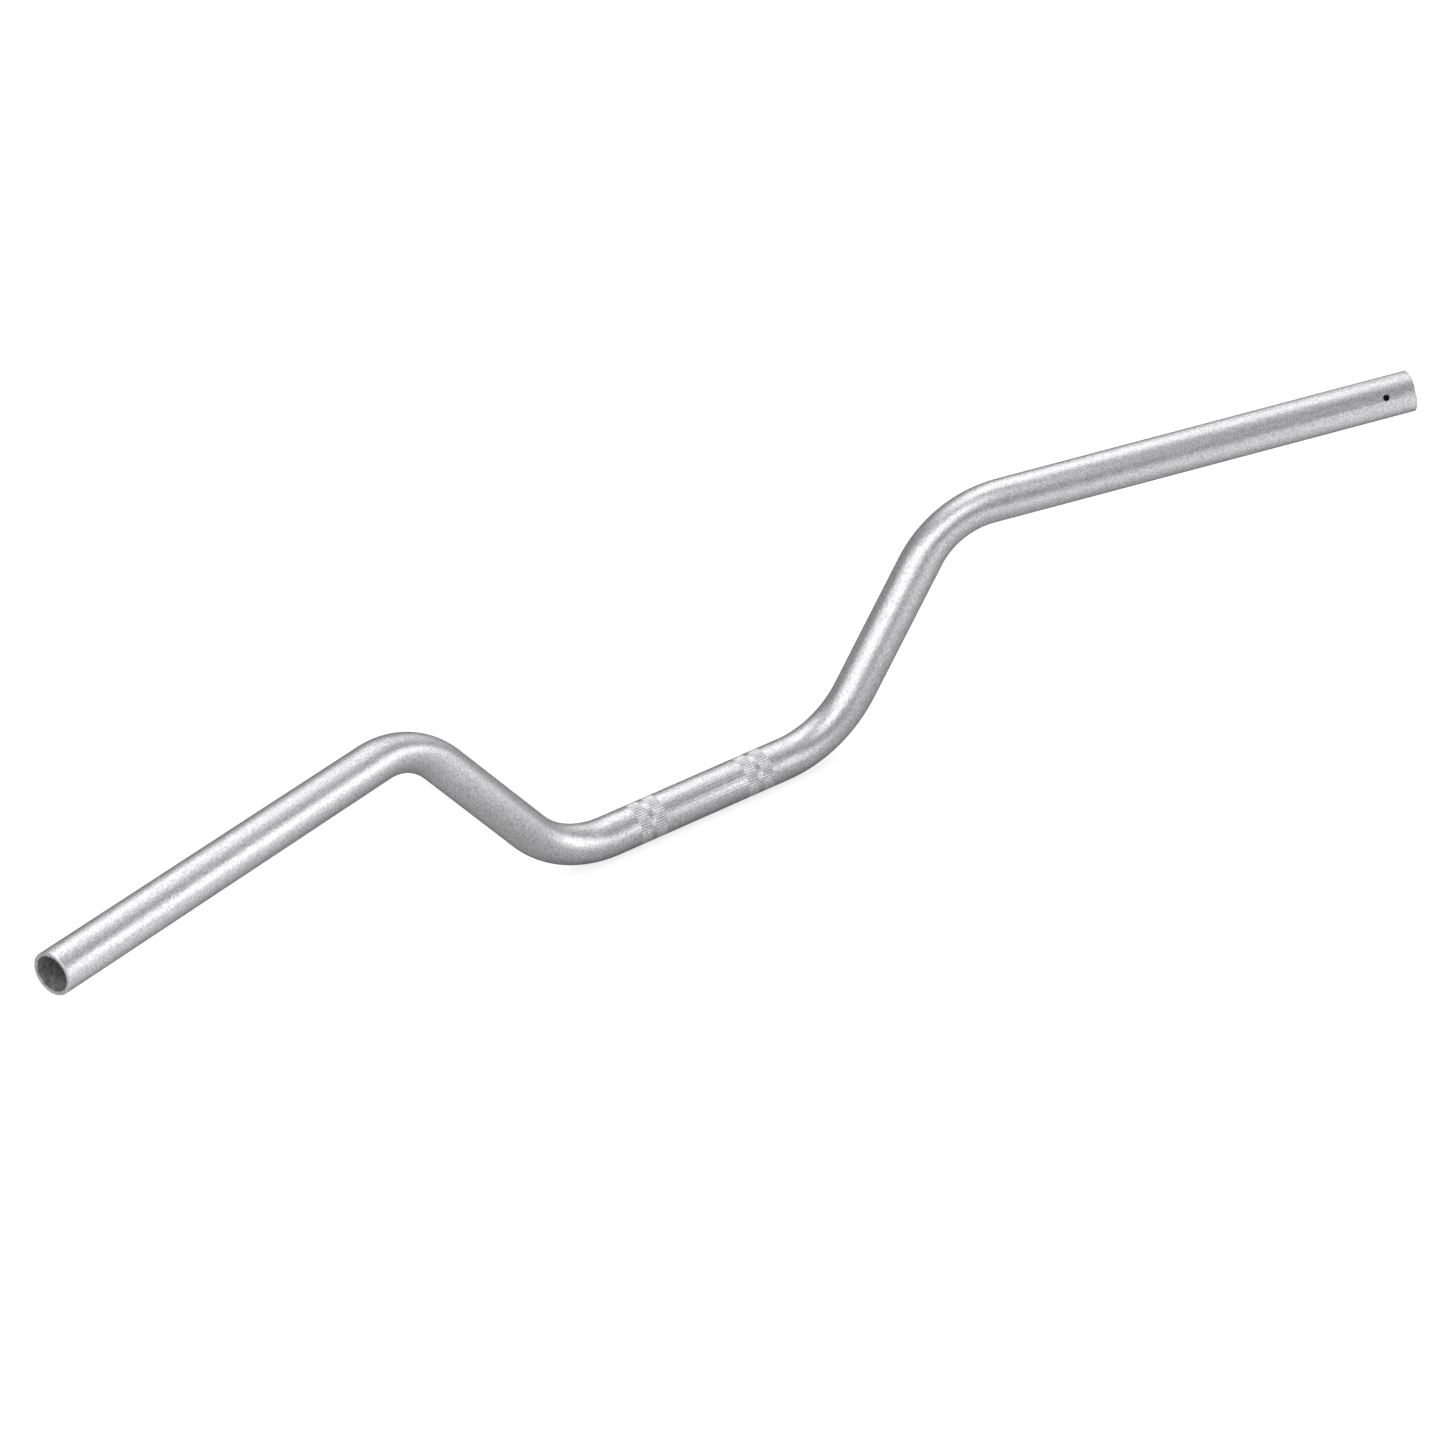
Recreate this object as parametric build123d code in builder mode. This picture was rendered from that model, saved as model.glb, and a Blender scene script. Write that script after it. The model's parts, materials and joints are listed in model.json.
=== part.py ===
from build123d import *
from math import cos, pi, radians, sin, tan
import os

os.makedirs("parts", exist_ok=True)

# A motorcycle handlebar: one steel tube, bent four times, with knurled clamp bands.
# Millimetres. The origin is the middle of the clamp section, on the tube's axis.
# +X is the rider's right, +Y is forward and +Z is up, square to the clamp section in the rise plane.

# tube
tube_od = 22.2  # 7/8 inch bar stock, which grips and clamps are made for
tube_wall = 2.0
end_chamfer_out = 0.5
end_chamfer_in = 0.3

# shape of the centre line: corners are where the straight runs' lines meet
clamp_half_length = 84.5  # middle of the bar to the lower corner
riser_length = 135.0  # lower corner to upper corner
riser_angle = 53.8  # degrees above the clamp section
grip_length = 259.3  # upper corner to the open end
grip_back_angle = 19.9  # degrees swept back from the rise plane
grip_up_angle = 5.5  # degrees above level, seen from the front
lower_bend_radius = 56.0
upper_bend_radius = 52.0

# knurling: two pairs of bands of straight ridges, one pair for each clamp
knurl_pair_centre = 33.5
knurl_band_width = 6.6
knurl_band_gap = 2.9
knurl_teeth = 42
knurl_depth = 0.35
knurl_land = 0.25  # share of the pitch left at full tube size

# hole for the locating pin of a switch or throttle housing, in the right grip
pin_hole_diameter = 3.5
pin_hole_from_end = 16.5
pin_hole_angle = 58.5  # degrees from straight up towards the rider, round the grip

# sizes that follow
tube_radius = tube_od / 2
bore_radius = tube_radius - tube_wall
knurl_band_offset = (knurl_band_width + knurl_band_gap) / 2

# directions of the right-hand runs, and the corners they lead to
base_direction = Vector(1, 0, 0)
riser_direction = Vector(cos(radians(riser_angle)), 0, sin(radians(riser_angle)))
grip_direction = Vector(
    cos(radians(grip_back_angle)) * cos(radians(grip_up_angle)),
    -sin(radians(grip_back_angle)),
    cos(radians(grip_back_angle)) * sin(radians(grip_up_angle)),
)
lower_corner = base_direction * clamp_half_length
upper_corner = lower_corner + riser_direction * riser_length
bar_end = upper_corner + grip_direction * grip_length

# where each bend starts and stops
lower_bend_angle = base_direction.get_angle(riser_direction)
upper_bend_angle = riser_direction.get_angle(grip_direction)
lower_setback = lower_bend_radius * tan(radians(lower_bend_angle / 2))
upper_setback = upper_bend_radius * tan(radians(upper_bend_angle / 2))
base_end = lower_corner - base_direction * lower_setback
riser_start = lower_corner + riser_direction * lower_setback
riser_end = upper_corner - riser_direction * upper_setback
grip_start = upper_corner + grip_direction * upper_setback


def ring(plane):
    """The tube's section on a plane."""
    with BuildSketch(plane) as section:
        Circle(tube_radius)
        Circle(bore_radius, mode=Mode.SUBTRACT)
    return section.sketch


with BuildPart() as right_arm:
    # lower bend
    lower_axis_way = base_direction.cross(riser_direction).normalized()
    lower_centre = base_end + lower_axis_way.cross(base_direction) * lower_bend_radius
    revolve(ring(Plane(base_end, z_dir=base_direction)), axis=Axis(lower_centre, lower_axis_way),
            revolution_arc=lower_bend_angle)
    # riser
    extrude(ring(Plane(riser_start, z_dir=riser_direction)), amount=(riser_end - riser_start).length)
    # upper bend
    upper_axis_way = riser_direction.cross(grip_direction).normalized()
    upper_centre = riser_end + upper_axis_way.cross(riser_direction) * upper_bend_radius
    revolve(ring(Plane(riser_end, z_dir=riser_direction)), axis=Axis(upper_centre, upper_axis_way),
            revolution_arc=upper_bend_angle)
    # grip
    extrude(ring(Plane(grip_start, z_dir=grip_direction)), amount=(bar_end - grip_start).length)
    # open end, broken edges
    end_face = right_arm.faces().sort_by(Axis.X)[-1]
    outer_edge = end_face.outer_wire().edge()
    inner_edge = end_face.inner_wires()[0].edge()
    chamfer(outer_edge, length=end_chamfer_out)
    chamfer(inner_edge, length=end_chamfer_in)

with BuildPart() as handlebar_tube:
    # clamp section, and the right arm with its mirror image
    extrude(ring(Plane.YZ.offset(-base_end.X)), amount=2 * base_end.X)
    add(right_arm.part)
    mirror(right_arm.part, about=Plane.YZ)

    # knurling
    tip_radius = tube_radius + knurl_depth * knurl_land / (1 - knurl_land)
    root_radius = tube_radius - knurl_depth
    pitch = 2 * pi / knurl_teeth
    star = []
    for tooth in range(knurl_teeth):
        star.append((root_radius * cos(tooth * pitch), root_radius * sin(tooth * pitch)))
        star.append((tip_radius * cos((tooth + 0.5) * pitch), tip_radius * sin((tooth + 0.5) * pitch)))
    for pair_side in (-1, 1):
        for band_side in (-1, 1):
            band_middle = pair_side * knurl_pair_centre + band_side * knurl_band_offset
            with BuildSketch(Plane.YZ.offset(band_middle)) as knurl_grooves:
                Circle(tube_radius + 1)
                Polygon(*star, align=None, mode=Mode.SUBTRACT)
            extrude(amount=knurl_band_width / 2, both=True, mode=Mode.SUBTRACT)

    # locating pin hole, through the rider's side of the right grip only
    grip_up = (Vector(0, 0, 1) - grip_direction * grip_direction.Z).normalized()
    grip_rearward = grip_direction.cross(grip_up)
    hole_angle = radians(pin_hole_angle)
    hole_direction = grip_up * cos(hole_angle) + grip_rearward * sin(hole_angle)
    hole_root = bar_end - grip_direction * pin_hole_from_end
    with BuildSketch(Plane(hole_root, z_dir=hole_direction)) as pin_hole:
        Circle(pin_hole_diameter / 2)
    extrude(amount=tube_radius + 1, mode=Mode.SUBTRACT)

handlebar_tube.part.label = "handlebar_tube"
export_step(handlebar_tube.part, "parts/handlebar_tube.step")
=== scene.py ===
"""Studio looks for a bare motorcycle handlebar: one bent silver tube on a pale floor."""

import json
import math
from typing import NamedTuple

import bmesh
import bpy
from bpy.props import (
    FloatProperty,
    FloatVectorProperty,
    IntProperty,
    PointerProperty,
)
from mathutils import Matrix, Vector


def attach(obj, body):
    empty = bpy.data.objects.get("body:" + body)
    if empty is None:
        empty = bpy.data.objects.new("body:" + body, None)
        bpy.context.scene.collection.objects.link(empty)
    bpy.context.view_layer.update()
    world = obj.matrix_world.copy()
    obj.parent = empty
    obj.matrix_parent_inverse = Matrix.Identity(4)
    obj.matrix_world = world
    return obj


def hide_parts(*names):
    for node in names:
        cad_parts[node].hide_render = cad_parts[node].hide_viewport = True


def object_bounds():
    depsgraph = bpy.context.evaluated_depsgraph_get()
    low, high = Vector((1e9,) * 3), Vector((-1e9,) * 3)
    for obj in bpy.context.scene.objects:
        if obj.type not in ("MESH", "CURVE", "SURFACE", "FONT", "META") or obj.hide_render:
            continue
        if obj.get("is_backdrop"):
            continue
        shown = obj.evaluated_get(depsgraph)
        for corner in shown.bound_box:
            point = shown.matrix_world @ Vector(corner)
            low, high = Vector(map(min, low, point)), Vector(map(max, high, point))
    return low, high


bl_info = {
    "name": "Handlebar Looks",
    "version": (1, 0, 0),
    "blender": (4, 5, 0),
    "location": "View3D > Sidebar > Handlebar",
    "description": "Builds the finished tube of a motorcycle handlebar and its studio",
    "category": "Object",
}

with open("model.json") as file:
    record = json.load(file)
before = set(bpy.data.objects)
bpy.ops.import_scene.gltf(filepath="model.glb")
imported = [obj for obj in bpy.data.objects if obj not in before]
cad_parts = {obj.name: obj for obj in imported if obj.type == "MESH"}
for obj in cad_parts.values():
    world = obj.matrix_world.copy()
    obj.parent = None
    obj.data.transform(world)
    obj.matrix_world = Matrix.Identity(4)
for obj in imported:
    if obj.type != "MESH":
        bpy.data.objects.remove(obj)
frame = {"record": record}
CAD_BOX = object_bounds()
MOUNTS = {mount["name"]: mount for mount in frame["record"]["mounts"]}

MM = 0.001

# fineness of the tube's mesh
BEND_STEPS = 28
LEAD_STEPS = 4
END_ROUND_STEPS = 4
POINTS_PER_TOOTH = 8
BORE_SIDES = 96
PIN_HOLE_SIDES = 40
SHARP_EDGE = math.radians(24)

# how far the bore's cutter runs on past each end
BORE_OVERRUN = 2 * MM
# length of the pin hole's cutter from the centre line, in tube radii
PIN_CUTTER_LENGTH = 1.4

# a face whose normal points this much towards the centre line is the bore's
FACES_INWARD = -0.3
# a face this near the pin hole's axis, in hole radii, and this far out, in bore
# radii, is the hole's wall
IN_HOLE = 1.002
PAST_BORE = 0.9

LIGHT_HALF_WIDTH = math.radians(20)
LIGHT_DISTANCE = 3.0
FLOOR_RADIUS = 2.5
FLOOR_SIDES = 96

# name, direction round the bar in degrees (0 is the rider's side, 90 the rider's
# right), height in degrees and brightness
SOFT_LIGHTS = (
    ("low_left_light", -60, 8, 1.05),
    ("low_rear_light", 30, 8, 0.75),
    ("low_right_light", 60, 8, 1.3),
    ("low_forward_right_light", 120, 8, 0.5),
    ("left_light", -105, 32, 0.65),
    ("rear_left_light", -75, 32, 0.7),
    ("forward_right_light", 135, 32, 0.4),
    ("forward_light", 165, 32, 0.25),
    ("high_forward_light", 180, 58, 0.8),
    ("high_rear_left_light", -45, 58, 1.15),
    ("high_right_light", 90, 58, 0.35),
    ("high_forward_right_light", 135, 58, 0.6),
)


def mount_radius(name):
    """A mount's radius in millimetres."""
    return MOUNTS[name]["dims"]["r_mm"]


# ---------------------------------------------------------------- settings


def length(name, value, description):
    """A length setting, given in millimetres and kept in metres."""
    return FloatProperty(
        name=name,
        description=description,
        default=value * MM,
        min=0.0,
        precision=5,
        unit="LENGTH",
        subtype="DISTANCE",
    )


def angle(name, degrees, description):
    """An angle setting, given in degrees and kept in radians."""
    return FloatProperty(
        name=name,
        description=description,
        default=math.radians(degrees),
        unit="ROTATION",
        subtype="ANGLE",
    )


def colour(name, value, description):
    """A linear colour setting."""
    return FloatVectorProperty(
        name=name,
        description=description,
        default=value,
        size=3,
        min=0.0,
        max=1.0,
        subtype="COLOR",
    )


class HandlebarSizes(bpy.types.PropertyGroup):
    """Sizes of the bent tube."""

    tube_od: length(
        "Tube diameter", 2 * mount_radius("clamp_seat"), "Outer diameter of the tube"
    )
    tube_wall: length(
        "Wall",
        mount_radius("clamp_seat") - mount_radius("right_bar_end_bore"),
        "Wall thickness of the tube",
    )
    end_round: length("End rounding", 0.5, "Rounding of the tube's outer end edges")
    end_flare: length("Bore chamfer", 0.3, "Chamfer of the bore at each end")
    clamp_half_length: length(
        "Clamp half length", 84.5, "Middle of the bar to the lower corner point"
    )
    riser_length: length("Riser length", 135.0, "Lower to upper corner point")
    grip_length: length("Grip length", 259.3, "Upper corner point to the bar end")
    riser_angle: angle("Riser angle", 53.8, "Rise of the risers above the clamp section")
    grip_back_angle: angle("Grip pull back", 19.9, "Sweep of the grips to the rear")
    grip_up_angle: angle("Grip rise", 5.5, "Rise of the grips above the level")
    lower_bend_radius: length("Lower bend", 56.0, "Centre-line radius, lower bends")
    upper_bend_radius: length("Upper bend", 52.0, "Centre-line radius, upper bends")
    lower_flattening: length(
        "Lower flattening", 0.9, "How far the outside of a lower bend is pulled in"
    )
    upper_flattening: length(
        "Upper flattening", 1.6, "How far the outside of an upper bend is pulled in"
    )
    knurl_centre: length("Knurl centre", 33.5, "Middle of the bar to a pair of bands")
    knurl_width: length("Knurl band width", 6.6, "Width of one knurled band")
    knurl_gap: length("Knurl band gap", 2.9, "Plain gap between two bands")
    knurl_depth: length("Knurl depth", 0.3, "Depth of a knurl groove")
    knurl_land: FloatProperty(
        name="Knurl land",
        description="Share of each ridge that keeps the tube's surface",
        default=0.25,
        min=0.0,
        max=0.9,
        subtype="FACTOR",
    )
    knurl_run_out: length("Knurl run-out", 0.25, "Length over which a groove ends")
    knurl_teeth: IntProperty(
        name="Knurl teeth", description="Ridges around the tube", default=42, min=8
    )
    pin_hole_diameter: length(
        "Pin hole",
        2 * mount_radius("control_pin_hole"),
        "Hole for a control's locating pin",
    )
    pin_hole_from_end: length("Pin hole place", 16.5, "Bar end to the hole's axis")
    pin_hole_angle: angle(
        "Pin hole angle", 58.5, "Turn of the hole around the grip from straight up"
    )


class HandlebarColours(bpy.types.PropertyGroup):
    """Colours of the tube and of its studio, and the floor's glow."""

    silver: colour("Silver", (0.728, 0.72, 0.736), "Satin silver finish of the tube")
    bore: colour("Bore", (0.43, 0.43, 0.435), "Unfinished inside of the tube")
    # painted shade: near black for the pin hole's wall, standing in for the shade inside
    # the hole
    pin_hole: colour("Pin hole", (0.02, 0.02, 0.02), "Shaded wall of the pin hole")
    floor: colour("Floor", (0.55, 0.55, 0.55), "Pale studio floor")
    room: colour("Room", (0.29, 0.29, 0.29), "Even light of the studio room")
    floor_white: FloatProperty(
        name="Floor white",
        description="Glow that makes the floor white to the camera",
        default=0.7,
        min=0.0,
    )
    floor_mirrored: FloatProperty(
        name="Floor mirrored",
        description="Glow that the metal mirrors from the floor on the rider's side",
        default=0.4,
        min=0.0,
    )


# ---------------------------------------------------------------- centre line


class RightSide(NamedTuple):
    """Directions and points that the right half of the bar follows."""

    riser: Vector
    grip: Vector
    lower_corner: Vector
    upper_corner: Vector
    end: Vector


class Station(NamedTuple):
    """A point of the centre line, and how the tube differs there from a plain one."""

    point: Vector
    outward: Vector = Vector()
    pulled_in: float = 0.0
    end_cut: float = 0.0
    bore_flare: float = 0.0
    beyond: float = 0.0


# what the sweep itself stores on the tube, and what each station gives it
SWEEP_LAYERS = ("axis", "turn")
STATION_LAYERS = Station._fields[1:]


def right_side(size):
    """The right half's directions and points, worked out from its sizes."""
    riser = Vector((math.cos(size.riser_angle), 0, math.sin(size.riser_angle)))
    back = math.cos(size.grip_back_angle)
    grip = Vector(
        (
            back * math.cos(size.grip_up_angle),
            -math.sin(size.grip_back_angle),
            back * math.sin(size.grip_up_angle),
        )
    )
    lower = Vector((size.clamp_half_length, 0, 0))
    upper = lower + riser * size.riser_length
    return RightSide(riser, grip, lower, upper, upper + grip * size.grip_length)


def bend(start, heading, inward, radius, sweep, tube_radius, pull):
    """Stations through a bend and just beyond it.

    Bending draws the outside of the tube into a wider arc, which starts before the
    centre line bends and lies inside the true arc by pull at the bend's middle.
    """
    half = sweep / 2
    outer = radius + tube_radius
    wide = outer + pull / (1 / math.cos(half) - 1)
    lead = (wide - outer) * math.tan(half)
    apart = (wide - outer) / math.cos(half)
    centre = start + inward * radius
    finish = heading * math.cos(sweep) + inward * math.sin(sweep)
    last = -inward * math.cos(sweep) + heading * math.sin(sweep)

    leads = [lead * i / LEAD_STEPS for i in range(LEAD_STEPS, 0, -1)]
    drawn = [wide - math.sqrt(wide**2 - (lead - x) ** 2) for x in leads]
    stations = [Station(start - heading * x, -inward, d) for x, d in zip(leads, drawn)]
    for i in range(BEND_STEPS + 1):
        turn = sweep * i / BEND_STEPS
        beta = turn - half
        outward = -inward * math.cos(turn) + heading * math.sin(turn)
        to_wide = math.sqrt(wide**2 - (apart * math.sin(beta)) ** 2)
        inside = outer + apart * math.cos(beta) - to_wide
        stations.append(Station(centre + outward * radius, outward, inside))
    end = centre + last * radius
    way_out = [Station(end + finish * x, last, d) for x, d in zip(leads, drawn)]
    return stations + way_out[::-1]


def right_stations(size):
    """Stations of the right half of the bar, from the middle to beyond its end."""
    side = right_side(size)
    stations = []

    half_band = size.knurl_width / 2
    full_depth = half_band - size.knurl_run_out
    for direction in (-1, 1):
        middle = size.knurl_centre + direction * (size.knurl_gap + size.knurl_width) / 2
        for offset in (-half_band, -full_depth, full_depth, half_band):
            stations.append(Station(Vector((middle + offset, 0, 0))))

    along = Vector((1, 0, 0))
    for corner, before, after, radius, flattening in (
        (
            side.lower_corner,
            along,
            side.riser,
            size.lower_bend_radius,
            size.lower_flattening,
        ),
        (
            side.upper_corner,
            side.riser,
            side.grip,
            size.upper_bend_radius,
            size.upper_flattening,
        ),
    ):
        sweep = before.angle(after)
        start = corner - before * (radius * math.tan(sweep / 2))
        inward = (after - before * after.dot(before)).normalized()
        stations += bend(
            start, before, inward, radius, sweep, size.tube_od / 2, flattening
        )

    for i in range(END_ROUND_STEPS + 1):
        turn = math.radians(90 * i / END_ROUND_STEPS)
        back = size.end_round * (1 - math.sin(turn))
        cut = size.end_round * (1 - math.cos(turn))
        flare = max(0.0, size.end_flare - back)
        point = side.end - side.grip * back
        stations.append(Station(point, end_cut=cut, bore_flare=flare))
    past = side.end + side.grip * BORE_OVERRUN
    stations.append(Station(past, bore_flare=size.end_flare, beyond=1.0))
    return stations


def centre_line(size):
    """The bar's centre line as a mesh of points and edges with their attributes."""
    right = right_stations(size)
    mirror = Vector((-1, 1, 1))
    left = [
        station._replace(point=station.point * mirror, outward=station.outward * mirror)
        for station in reversed(right)
    ]
    stations = left + right
    mesh = bpy.data.meshes.new("centre_line")
    edges = [(i, i + 1) for i in range(len(stations) - 1)]
    mesh.from_pydata([station.point for station in stations], edges, [])
    for name in STATION_LAYERS:
        values = [getattr(station, name) for station in stations]
        if name == "outward":
            layer = mesh.attributes.new(name, "FLOAT_VECTOR", "POINT")
            layer.data.foreach_set("vector", [v for value in values for v in value])
        else:
            layer = mesh.attributes.new(name, "FLOAT", "POINT")
            layer.data.foreach_set("value", values)
    return mesh


# ---------------------------------------------------------------- node helpers


class Tree:
    """Short ways to add and link nodes in one node tree."""

    def __init__(self, tree):
        self.tree = tree

    def node(self, kind, inputs=None, **settings):
        """Adds a node, sets its properties and fills or links its inputs."""
        made = self.tree.nodes.new(kind)
        for key, value in settings.items():
            setattr(made, key, value)
        for key, value in (inputs or {}).items():
            self.feed(made.inputs[key], value)
        return made

    def feed(self, socket, value):
        """Links a socket to an output, or sets its value."""
        if isinstance(value, bpy.types.NodeSocket):
            self.tree.links.new(value, socket)
        else:
            socket.default_value = value

    def math(self, operation, *values, clamp=False):
        """A Math node's result."""
        made = self.node("ShaderNodeMath", operation=operation, use_clamp=clamp)
        for socket, value in zip(made.inputs, values):
            self.feed(socket, value)
        return made.outputs[0]

    def vector(self, operation, *values):
        """A Vector Math node's result: a number for a dot product or a length."""
        made = self.node("ShaderNodeVectorMath", operation=operation)
        sockets = list(made.inputs)
        if operation == "SCALE":
            sockets = [made.inputs[0], made.inputs["Scale"]]
        for socket, value in zip(sockets, values):
            self.feed(socket, value)
        number = operation in ("DOT_PRODUCT", "LENGTH")
        return made.outputs["Value" if number else "Vector"]

    def attribute(self, name, kind="FLOAT"):
        """A named attribute's value."""
        made = self.node("GeometryNodeInputNamedAttribute", data_type=kind)
        made.inputs["Name"].default_value = name
        return made.outputs["Attribute"]

    def store(self, geometry, name, value, kind="FLOAT", domain="POINT"):
        """Geometry with a value stored under a name."""
        made = self.node(
            "GeometryNodeStoreNamedAttribute",
            {"Geometry": geometry, "Name": name, "Value": value},
            data_type=kind,
            domain=domain,
        )
        return made.outputs["Geometry"]


def sweep_tube(t, path, resolution, radius, scale):
    """Sweeps a circle along a path. Each point keeps its axis point and its turn."""
    path = t.store(
        path,
        "axis",
        t.node("GeometryNodeInputPosition").outputs[0],
        "FLOAT_VECTOR",
    )
    curve = t.node("GeometryNodeMeshToCurve", {"Mesh": path}).outputs[0]
    circle = t.node(
        "GeometryNodeCurvePrimitiveCircle",
        {"Resolution": resolution, "Radius": radius},
        mode="RADIUS",
    ).outputs["Curve"]
    circle = t.store(
        circle, "turn", t.node("GeometryNodeSplineParameter").outputs["Factor"]
    )
    swept = t.node(
        "GeometryNodeCurveToMesh",
        {"Curve": curve, "Profile Curve": circle, "Scale": scale, "Fill Caps": True},
    )
    return swept.outputs["Mesh"]


def pull_in(t, mesh):
    """Pulls in the outside of each bend, as bending a tube does."""
    position = t.node("GeometryNodeInputPosition").outputs[0]
    axis = t.attribute("axis", "FLOAT_VECTOR")
    outward = t.attribute("outward", "FLOAT_VECTOR")
    radial = t.vector("NORMALIZE", t.vector("SUBTRACT", position, axis))
    facing = t.math("MAXIMUM", t.vector("DOT_PRODUCT", radial, outward), 0.0)
    amount = t.math("MULTIPLY", facing, t.attribute("pulled_in"))
    offset = t.vector("SCALE", outward, t.math("MULTIPLY", amount, -1.0))
    moved = t.node("GeometryNodeSetPosition", {"Geometry": mesh, "Offset": offset})
    return moved.outputs["Geometry"]


def knurl(t, mesh, given):
    """Rolls V grooves into the four bands of the clamp section."""
    position = t.node("GeometryNodeInputPosition").outputs[0]
    axis = t.attribute("axis", "FLOAT_VECTOR")
    radial = t.vector("NORMALIZE", t.vector("SUBTRACT", position, axis))
    place = t.node("ShaderNodeSeparateXYZ", {"Vector": position}).outputs["X"]
    from_pair = t.math(
        "ABSOLUTE", t.math("SUBTRACT", t.math("ABSOLUTE", place), given["Knurl Centre"])
    )
    band_middle = t.math(
        "MULTIPLY", t.math("ADD", given["Knurl Gap"], given["Knurl Width"]), 0.5
    )
    from_band = t.math("ABSOLUTE", t.math("SUBTRACT", from_pair, band_middle))
    inside = t.math(
        "SUBTRACT", t.math("MULTIPLY", given["Knurl Width"], 0.5), from_band
    )
    mask = t.math("DIVIDE", inside, given["Knurl Run-out"], clamp=True)
    tooth = t.math(
        "FRACT", t.math("MULTIPLY", t.attribute("turn"), given["Knurl Teeth"])
    )
    from_ridge = t.math("ABSOLUTE", t.math("MULTIPLY_ADD", tooth, 2.0, -1.0))
    slope = t.node(
        "ShaderNodeMapRange",
        {"Value": from_ridge, "From Min": given["Knurl Land"], "From Max": 1.0},
    ).outputs["Result"]
    depth = t.math("MULTIPLY", given["Knurl Depth"], t.math("MULTIPLY", mask, slope))
    offset = t.vector("SCALE", radial, t.math("MULTIPLY", depth, -1.0))
    moved = t.node("GeometryNodeSetPosition", {"Geometry": mesh, "Offset": offset})
    return moved.outputs["Geometry"]


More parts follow.
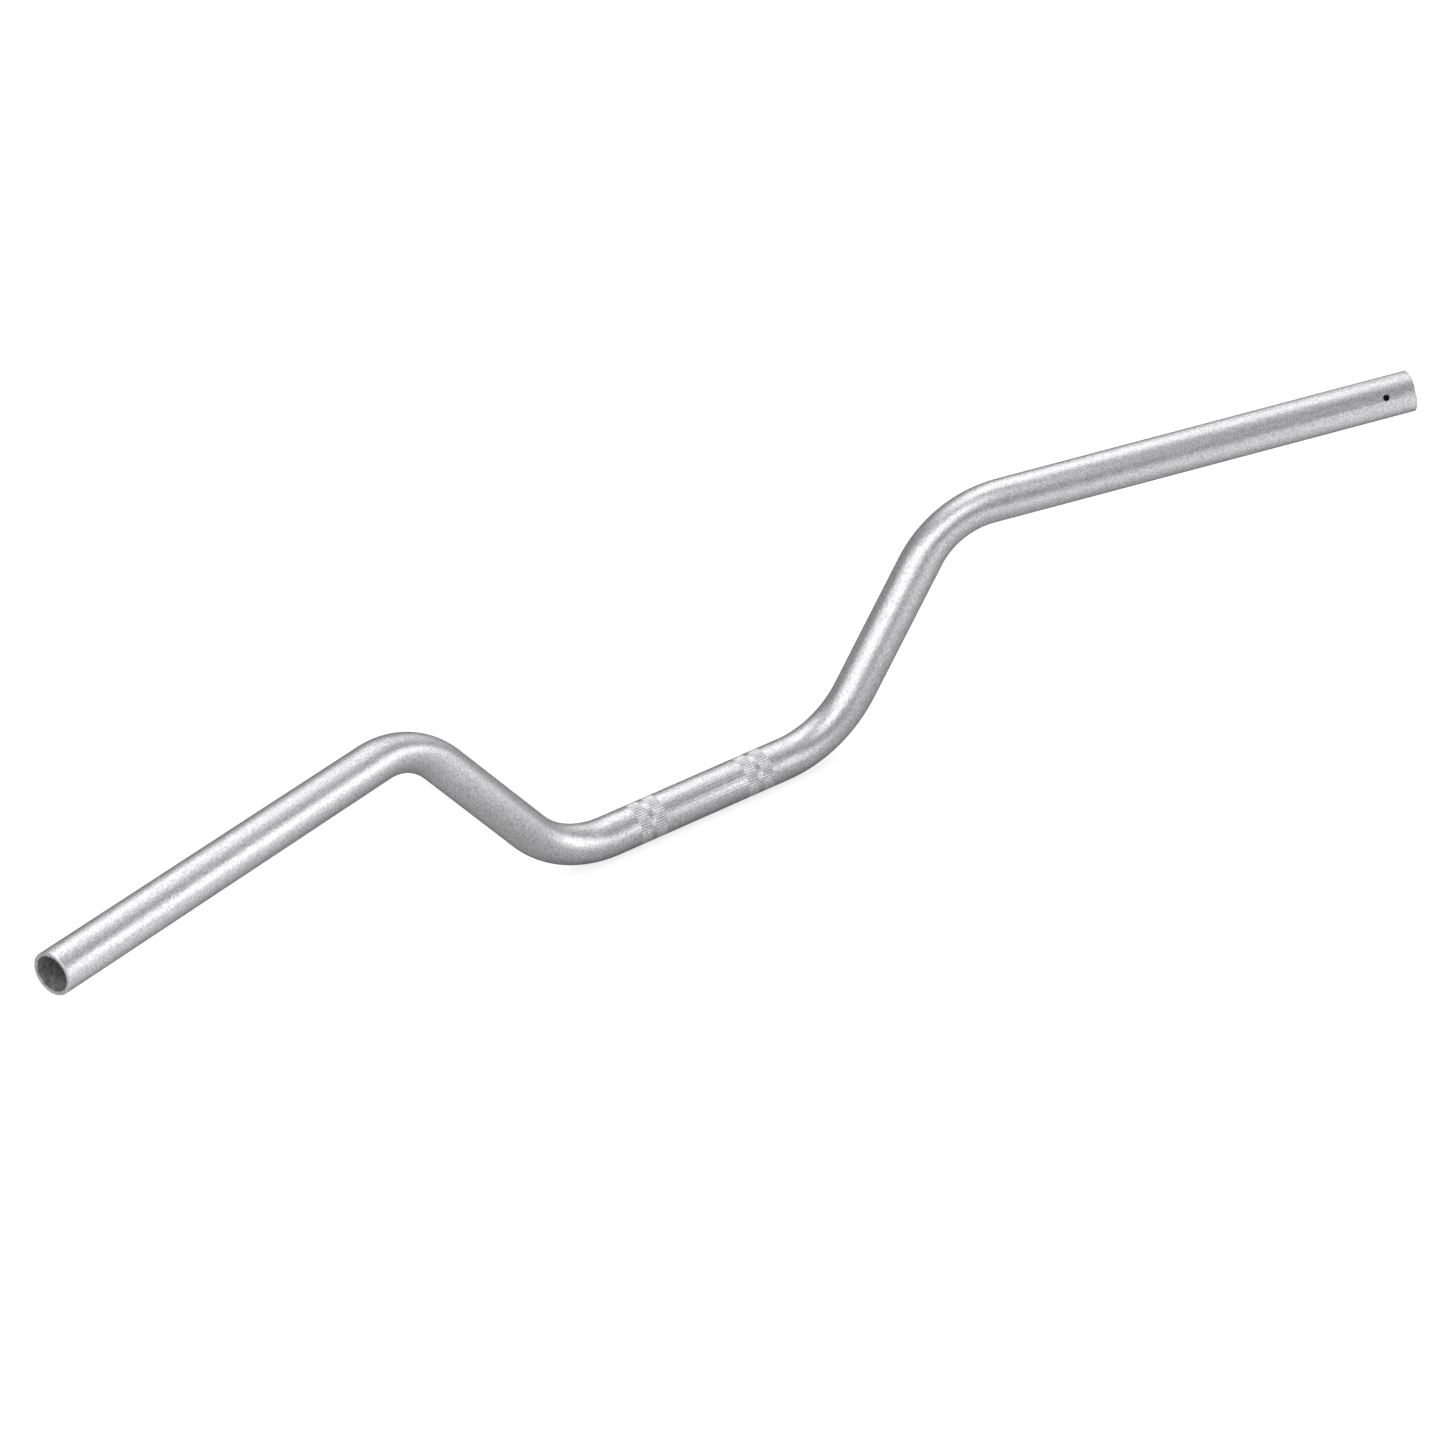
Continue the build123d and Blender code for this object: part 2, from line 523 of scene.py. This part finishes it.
def tube_tree():
    """The node tree that makes the tube from its centre line."""
    group = bpy.data.node_groups.new("Handlebar Tube", "GeometryNodeTree")
    face = group.interface
    face.new_socket("Geometry", in_out="INPUT", socket_type="NodeSocketGeometry")
    for name, kind in (
        ("Tube Radius", "NodeSocketFloat"),
        ("Bore Radius", "NodeSocketFloat"),
        ("Knurl Teeth", "NodeSocketInt"),
        ("Points per Tooth", "NodeSocketInt"),
        ("Knurl Centre", "NodeSocketFloat"),
        ("Knurl Width", "NodeSocketFloat"),
        ("Knurl Gap", "NodeSocketFloat"),
        ("Knurl Depth", "NodeSocketFloat"),
        ("Knurl Land", "NodeSocketFloat"),
        ("Knurl Run-out", "NodeSocketFloat"),
        ("Pin Hole Radius", "NodeSocketFloat"),
        ("Pin Hole Point", "NodeSocketVector"),
        ("Pin Hole Direction", "NodeSocketVector"),
        ("Tube Material", "NodeSocketMaterial"),
        ("Bore Material", "NodeSocketMaterial"),
        ("Pin Hole Material", "NodeSocketMaterial"),
    ):
        face.new_socket(name, in_out="INPUT", socket_type=kind)
    face.new_socket("Geometry", in_out="OUTPUT", socket_type="NodeSocketGeometry")
    t = Tree(group)
    entry = t.node("NodeGroupInput")
    given = {socket.name: socket for socket in entry.outputs if socket.name}
    line = given["Geometry"]

    # the outer skin stops at the ends, and the bore cutter runs on beyond them
    past_end = t.math("GREATER_THAN", t.attribute("beyond"), 0.5)
    outer_line = t.node(
        "GeometryNodeDeleteGeometry",
        {"Geometry": line, "Selection": past_end},
        domain="POINT",
    ).outputs[0]
    outer_scale = t.math(
        "SUBTRACT", 1.0, t.math("DIVIDE", t.attribute("end_cut"), given["Tube Radius"])
    )
    around = t.math("MULTIPLY", given["Knurl Teeth"], given["Points per Tooth"])
    skin = sweep_tube(t, outer_line, around, given["Tube Radius"], outer_scale)
    skin = knurl(t, pull_in(t, skin), given)

    bore_scale = t.math(
        "ADD", 1.0, t.math("DIVIDE", t.attribute("bore_flare"), given["Bore Radius"])
    )
    bore = sweep_tube(t, line, BORE_SIDES, given["Bore Radius"], bore_scale)
    bore = pull_in(t, bore)

    # the pin hole goes through the rider's side of the wall only
    depth = t.math("MULTIPLY", given["Tube Radius"], PIN_CUTTER_LENGTH)
    pin = t.node(
        "GeometryNodeMeshCylinder",
        {
            "Vertices": PIN_HOLE_SIDES,
            "Radius": given["Pin Hole Radius"],
            "Depth": depth,
        },
    ).outputs["Mesh"]
    lean = t.node(
        "FunctionNodeAlignRotationToVector",
        {"Vector": given["Pin Hole Direction"]},
        axis="Z",
    ).outputs["Rotation"]
    centre = t.vector(
        "ADD",
        given["Pin Hole Point"],
        t.vector("SCALE", given["Pin Hole Direction"], t.math("MULTIPLY", depth, 0.5)),
    )
    pin = t.node(
        "GeometryNodeTransform",
        {"Geometry": pin, "Translation": centre, "Rotation": lean},
    ).outputs[0]

    cut = t.node("GeometryNodeMeshBoolean", operation="DIFFERENCE")
    cut.solver = "MANIFOLD"
    t.feed(cut.inputs["Mesh 1"], skin)
    t.feed(cut.inputs["Mesh 2"], pin)
    t.feed(cut.inputs["Mesh 2"], bore)
    tube = cut.outputs["Mesh"]

    smooth = t.node("GeometryNodeSetShadeSmooth", {"Geometry": tube}, domain="FACE")
    crease = t.node("GeometryNodeInputMeshEdgeAngle").outputs["Unsigned Angle"]
    sharp = t.node(
        "GeometryNodeSetShadeSmooth",
        {
            "Geometry": smooth.outputs[0],
            "Selection": t.math("GREATER_THAN", crease, SHARP_EDGE),
            "Shade Smooth": False,
        },
        domain="EDGE",
    ).outputs[0]

    # each face takes its material from where it looks and lies
    near = t.node("GeometryNodeProximity", {"Target": line}, target_element="EDGES")
    position = t.node("GeometryNodeInputPosition").outputs[0]
    away = t.vector("NORMALIZE", t.vector("SUBTRACT", position, near.outputs["Position"]))
    looks_in = t.math(
        "LESS_THAN",
        t.vector("DOT_PRODUCT", t.node("GeometryNodeInputNormal").outputs[0], away),
        FACES_INWARD,
    )
    solid = t.node("GeometryNodeRealizeInstances", {"Geometry": sharp}).outputs[0]
    painted = t.node(
        "GeometryNodeSetMaterial",
        {"Geometry": solid, "Material": given["Tube Material"]},
    ).outputs[0]
    painted = t.node(
        "GeometryNodeSetMaterial",
        {
            "Geometry": painted,
            "Selection": looks_in,
            "Material": given["Bore Material"],
        },
    ).outputs[0]

    # the pin hole's wall takes the near-black painted shade
    from_pin = t.vector("SUBTRACT", position, given["Pin Hole Point"])
    along_pin = t.vector("DOT_PRODUCT", from_pin, given["Pin Hole Direction"])
    beside = t.vector("CROSS_PRODUCT", from_pin, given["Pin Hole Direction"])
    in_pin = t.math(
        "MULTIPLY",
        t.math(
            "LESS_THAN",
            t.vector("LENGTH", beside),
            t.math("MULTIPLY", given["Pin Hole Radius"], IN_HOLE),
        ),
        t.math(
            "GREATER_THAN",
            along_pin,
            t.math("MULTIPLY", given["Bore Radius"], PAST_BORE),
        ),
    )
    painted = t.node(
        "GeometryNodeSetMaterial",
        {
            "Geometry": painted,
            "Selection": in_pin,
            "Material": given["Pin Hole Material"],
        },
    ).outputs[0]
    t.node("NodeGroupOutput", {"Geometry": painted})
    return group


# ---------------------------------------------------------------- materials


def new_material(name):
    """A material with only a Principled shader, its tree and its Object coordinates."""
    material = bpy.data.materials.new(name)
    material.use_nodes = True
    t = Tree(material.node_tree)
    shader = material.node_tree.nodes["Principled BSDF"]
    place = t.node("ShaderNodeTexCoord").outputs["Object"]
    return material, t, shader, place


def noise(t, place, scale, detail=1.0, roughness=0.5):
    """A noise value between 0 and 1."""
    made = t.node(
        "ShaderNodeTexNoise",
        {"Vector": place, "Scale": scale, "Detail": detail, "Roughness": roughness},
    )
    return made.outputs["Fac"]


def remap(t, value, low, high, from_low=0.3, from_high=0.7):
    """A value spread from one range to another."""
    made = t.node(
        "ShaderNodeMapRange",
        {
            "Value": value,
            "From Min": from_low,
            "From Max": from_high,
            "To Min": low,
            "To Max": high,
        },
        clamp=True,
    )
    return made.outputs["Result"]


def satin_silver(base):
    """Silver finish with the fine sparkle of a blasted surface."""
    material, t, shader, place = new_material("satin_silver")
    grain = noise(t, place, scale=1050, detail=3.0, roughness=0.7)
    tint = t.node(
        "ShaderNodeHueSaturation",
        {"Color": (*base, 1.0), "Value": remap(t, grain, 0.62, 1.38)},
    ).outputs["Color"]
    t.feed(shader.inputs["Base Color"], tint)
    shader.inputs["Metallic"].default_value = 1.0
    # a dark edge tint, so the tube darkens towards its outline
    shader.inputs["Specular Tint"].default_value = (0.32, 0.32, 0.32, 1.0)
    shine = noise(t, place, scale=700)
    t.feed(shader.inputs["Roughness"], remap(t, shine, 0.31, 0.39))
    bump = t.node(
        "ShaderNodeBump",
        {"Height": grain, "Strength": 0.7, "Distance": 0.18 * MM},
    )
    t.feed(shader.inputs["Normal"], bump.outputs["Normal"])
    return material


def raw_bore(base, painted_shade_point):
    """Dull, mottled inside of the tube, with painted shade: near black round the point
    behind the pin hole, where the hole looks in.
    """
    material, t, shader, place = new_material("raw_bore")
    mottle = noise(t, place, scale=420, detail=3.0, roughness=0.6)
    # painted shade: the colour falls to near black within 10 to 15 mm of the point behind
    # the pin hole, standing in for the shade seen through the hole
    away = t.vector("LENGTH", t.vector("SUBTRACT", place, painted_shade_point))
    painted_shade = remap(t, away, 0.02, 1.0, from_low=10 * MM, from_high=15 * MM)
    tint = t.node(
        "ShaderNodeHueSaturation",
        {
            "Color": (*base, 1.0),
            "Value": t.math("MULTIPLY", remap(t, mottle, 0.55, 1.5), painted_shade),
        },
    ).outputs["Color"]
    t.feed(shader.inputs["Base Color"], tint)
    shader.inputs["Metallic"].default_value = 0.6
    shader.inputs["Roughness"].default_value = 0.55
    return material


def dark_hole(base):
    """Near-black wall of the pin hole: painted shade standing in for the shade inside the
    hole.
    """
    material, _, shader, _ = new_material("dark_hole")
    shader.inputs["Base Color"].default_value = (*base, 1.0)
    shader.inputs["Roughness"].default_value = 0.8
    return material


def pale_floor(base, white, mirrored):
    """A pale floor that is white to the camera and keeps its shadows.

    Metal and glass see a weaker glow, and only on the rider's side of the bar.
    """
    material = bpy.data.materials.new("pale_floor")
    material.use_nodes = True
    material.node_tree.nodes.clear()
    t = Tree(material.node_tree)
    diffuse = t.node("ShaderNodeBsdfDiffuse", {"Color": (*base, 1.0)}).outputs[0]
    path = t.node("ShaderNodeLightPath").outputs
    place = t.node("ShaderNodeTexCoord").outputs["Object"]
    # the mirrored glow grows from 50 to 300 mm behind the clamp section
    across = t.node("ShaderNodeSeparateXYZ", {"Vector": place}).outputs["Y"]
    rider_side = t.node(
        "ShaderNodeMapRange",
        {
            "Value": across,
            "From Min": -50 * MM,
            "From Max": -300 * MM,
            "To Max": mirrored,
        },
        interpolation_type="SMOOTHSTEP",
    ).outputs["Result"]
    seen = t.math("MULTIPLY", path["Is Camera Ray"], white)
    by_metal = t.math("ADD", path["Is Glossy Ray"], path["Is Transmission Ray"])
    strength = t.math("MULTIPLY_ADD", by_metal, rider_side, seen)
    glow = t.node(
        "ShaderNodeEmission", {"Color": (1.0, 1.0, 1.0, 1.0), "Strength": strength}
    ).outputs[0]
    total = t.node("ShaderNodeAddShader", {0: diffuse, 1: glow}).outputs[0]
    t.node("ShaderNodeOutputMaterial", {"Surface": total})
    return material


# ---------------------------------------------------------------- operators


def drop_empty_slots(mesh):
    """Removes material slots without a material, and keeps each face's material."""
    used = [m for m in mesh.materials if m]
    places = [used.index(m) if m else 0 for m in mesh.materials]
    indices = [places[face.material_index] for face in mesh.polygons]
    mesh.materials.clear()
    for material in used:
        mesh.materials.append(material)
    mesh.polygons.foreach_set("material_index", indices)


def check_closed(mesh, name):
    """Raises an error unless every edge of a mesh joins exactly two faces."""
    probe = bmesh.new()
    probe.from_mesh(mesh)
    open_edges = sum(1 for e in probe.edges if not e.is_manifold)
    volume = probe.calc_volume(signed=True)
    probe.free()
    if open_edges:
        raise RuntimeError(f"{name} has {open_edges} edges that don't close")
    if volume <= 0:
        raise RuntimeError(f"{name} is inside out")


class HANDLEBAR_OT_tube(bpy.types.Operator):
    """Make the bent silver tube with its knurled bands, open ends and pin hole"""

    bl_idname = "handlebar.tube"
    bl_label = "Bent Tube"
    bl_options = {"REGISTER", "UNDO"}

    def execute(self, context):
        size = context.scene.handlebar_sizes
        colours = context.scene.handlebar_colours
        piece = bpy.data.objects.new("bent_tube", centre_line(size))
        context.scene.collection.objects.link(piece)

        # the pin hole's axis, square to the right grip and turned round it from the top
        side = right_side(size)
        rearward = Vector((side.grip.y, -side.grip.x, 0)).normalized()
        upward = rearward.cross(side.grip)
        pin_direction = upward * math.cos(size.pin_hole_angle)
        pin_direction += rearward * math.sin(size.pin_hole_angle)
        pin_point = side.end - side.grip * size.pin_hole_from_end
        bore_radius = size.tube_od / 2 - size.tube_wall
        # centre of the bore's painted shade, on the far wall behind the pin hole
        behind_pin = pin_point - pin_direction * bore_radius

        modifier = piece.modifiers.new("Handlebar Tube", "NODES")
        modifier.node_group = tube_tree()
        values = {
            "Tube Radius": size.tube_od / 2,
            "Bore Radius": bore_radius,
            "Knurl Teeth": size.knurl_teeth,
            "Points per Tooth": POINTS_PER_TOOTH,
            "Knurl Centre": size.knurl_centre,
            "Knurl Width": size.knurl_width,
            "Knurl Gap": size.knurl_gap,
            "Knurl Depth": size.knurl_depth,
            "Knurl Land": size.knurl_land,
            "Knurl Run-out": size.knurl_run_out,
            "Pin Hole Radius": size.pin_hole_diameter / 2,
            "Pin Hole Point": pin_point,
            "Pin Hole Direction": pin_direction,
            "Tube Material": satin_silver(colours.silver),
            "Bore Material": raw_bore(colours.bore, behind_pin),
            "Pin Hole Material": dark_hole(colours.pin_hole),
        }
        for item in modifier.node_group.interface.items_tree:
            if item.in_out == "INPUT" and item.name in values:
                modifier[item.identifier] = values[item.name]

        context.view_layer.update()
        graph = context.evaluated_depsgraph_get()
        mesh = bpy.data.meshes.new_from_object(piece.evaluated_get(graph))
        piece.modifiers.clear()
        piece.data = mesh
        drop_empty_slots(mesh)
        check_closed(mesh, piece.name)
        for name in (*STATION_LAYERS, *SWEEP_LAYERS):
            if name in mesh.attributes:
                mesh.attributes.remove(mesh.attributes[name])
        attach(piece, "root")
        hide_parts("handlebar_tube")
        return {"FINISHED"}


class HANDLEBAR_OT_stage(bpy.types.Operator):
    """Make the pale floor, the soft lights, the room and the camera"""

    bl_idname = "handlebar.stage"
    bl_label = "Studio"
    bl_options = {"REGISTER", "UNDO"}

    def execute(self, context):
        scene = context.scene
        size = scene.handlebar_sizes
        colours = scene.handlebar_colours

        turns = [math.tau * i / FLOOR_SIDES for i in range(FLOOR_SIDES)]
        rim = [(FLOOR_RADIUS * math.cos(a), FLOOR_RADIUS * math.sin(a)) for a in turns]
        low = -size.tube_od / 2
        mesh = bpy.data.meshes.new("floor")
        mesh.from_pydata([(x, y, low) for x, y in rim], [], [range(FLOOR_SIDES)])
        mesh.materials.append(
            pale_floor(colours.floor, colours.floor_white, colours.floor_mirrored)
        )
        floor = bpy.data.objects.new("floor", mesh)
        scene.collection.objects.link(floor)
        floor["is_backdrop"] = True

        radius = LIGHT_DISTANCE * math.tan(LIGHT_HALF_WIDTH)
        for name, azimuth, height, brightness in SOFT_LIGHTS:
            a, h = math.radians(azimuth), math.radians(height)
            toward = Vector(
                (math.sin(a) * math.cos(h), -math.cos(a) * math.cos(h), math.sin(h))
            )
            lamp = bpy.data.lights.new(name, "AREA")
            lamp.shape = "DISK"
            lamp.size = 2 * radius
            lamp.energy = 4 * math.pi * radius**2 * brightness
            soft = bpy.data.objects.new(name, lamp)
            soft.location = toward * LIGHT_DISTANCE
            soft.rotation_euler = toward.to_track_quat("Z", "Y").to_euler()
            soft.visible_camera = False
            scene.collection.objects.link(soft)

        world = bpy.data.worlds.new("studio_room")
        world.use_nodes = True
        world.node_tree.nodes.clear()
        t = Tree(world.node_tree)
        path = t.node("ShaderNodeLightPath").outputs
        mix = t.node("ShaderNodeMixRGB", {"Fac": path["Is Camera Ray"]})
        mix.inputs["Color1"].default_value = (*colours.room, 1.0)
        mix.inputs["Color2"].default_value = (1.0, 1.0, 1.0, 1.0)
        glow = t.node("ShaderNodeBackground", {"Color": mix.outputs[0]}).outputs[0]
        t.node("ShaderNodeOutputWorld", {"Surface": glow})
        scene.world = world

        view = bpy.data.cameras.new("camera")
        view.lens = 121.31
        view.clip_start = 0.05
        view.clip_end = 100.0
        camera = bpy.data.objects.new("camera", view)
        camera.location = (-1.0796, -1.77, 1.4791)
        camera.rotation_euler = [math.radians(a) for a in (55.281, 3.298, -34.098)]
        scene.collection.objects.link(camera)
        scene.camera = camera
        scene.view_settings.view_transform = "Standard"
        return {"FINISHED"}


class HANDLEBAR_PT_panel(bpy.types.Panel):
    """The handlebar's builders and their settings, in the sidebar"""

    bl_idname = "HANDLEBAR_PT_panel"
    bl_label = "Handlebar"
    bl_space_type = "VIEW_3D"
    bl_region_type = "UI"
    bl_category = "Handlebar"

    def draw(self, context):
        for kind in OPERATORS:
            self.layout.operator(kind.bl_idname)
        scene = context.scene
        for settings in (scene.handlebar_sizes, scene.handlebar_colours):
            column = self.layout.column()
            for name in settings.__annotations__:
                column.prop(settings, name)


OPERATORS = (HANDLEBAR_OT_tube, HANDLEBAR_OT_stage)
CLASSES = (HandlebarSizes, HandlebarColours, *OPERATORS, HANDLEBAR_PT_panel)


def register():
    """Registers the classes and their settings."""
    for kind in CLASSES:
        bpy.utils.register_class(kind)
    bpy.types.Scene.handlebar_sizes = PointerProperty(type=HandlebarSizes)
    bpy.types.Scene.handlebar_colours = PointerProperty(type=HandlebarColours)


def unregister():
    """Takes back what register() did."""
    del bpy.types.Scene.handlebar_colours
    del bpy.types.Scene.handlebar_sizes
    for kind in reversed(CLASSES):
        bpy.utils.unregister_class(kind)


def plain(value):
    """Nested vectors as plain lists of numbers."""
    if isinstance(value, (int, float)):
        return float(value)
    return [plain(v) for v in value]


def main():
    """Builds every piece and the studio."""
    register()
    for kind in OPERATORS:
        group, name = kind.bl_idname.split(".")
        if getattr(getattr(bpy.ops, group), name)() != {"FINISHED"}:
            raise RuntimeError(f"{kind.bl_label} did not finish")
    sizes = {"cad": plain(CAD_BOX), "finished": plain(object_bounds())}


if __name__ == "__main__":
    main()
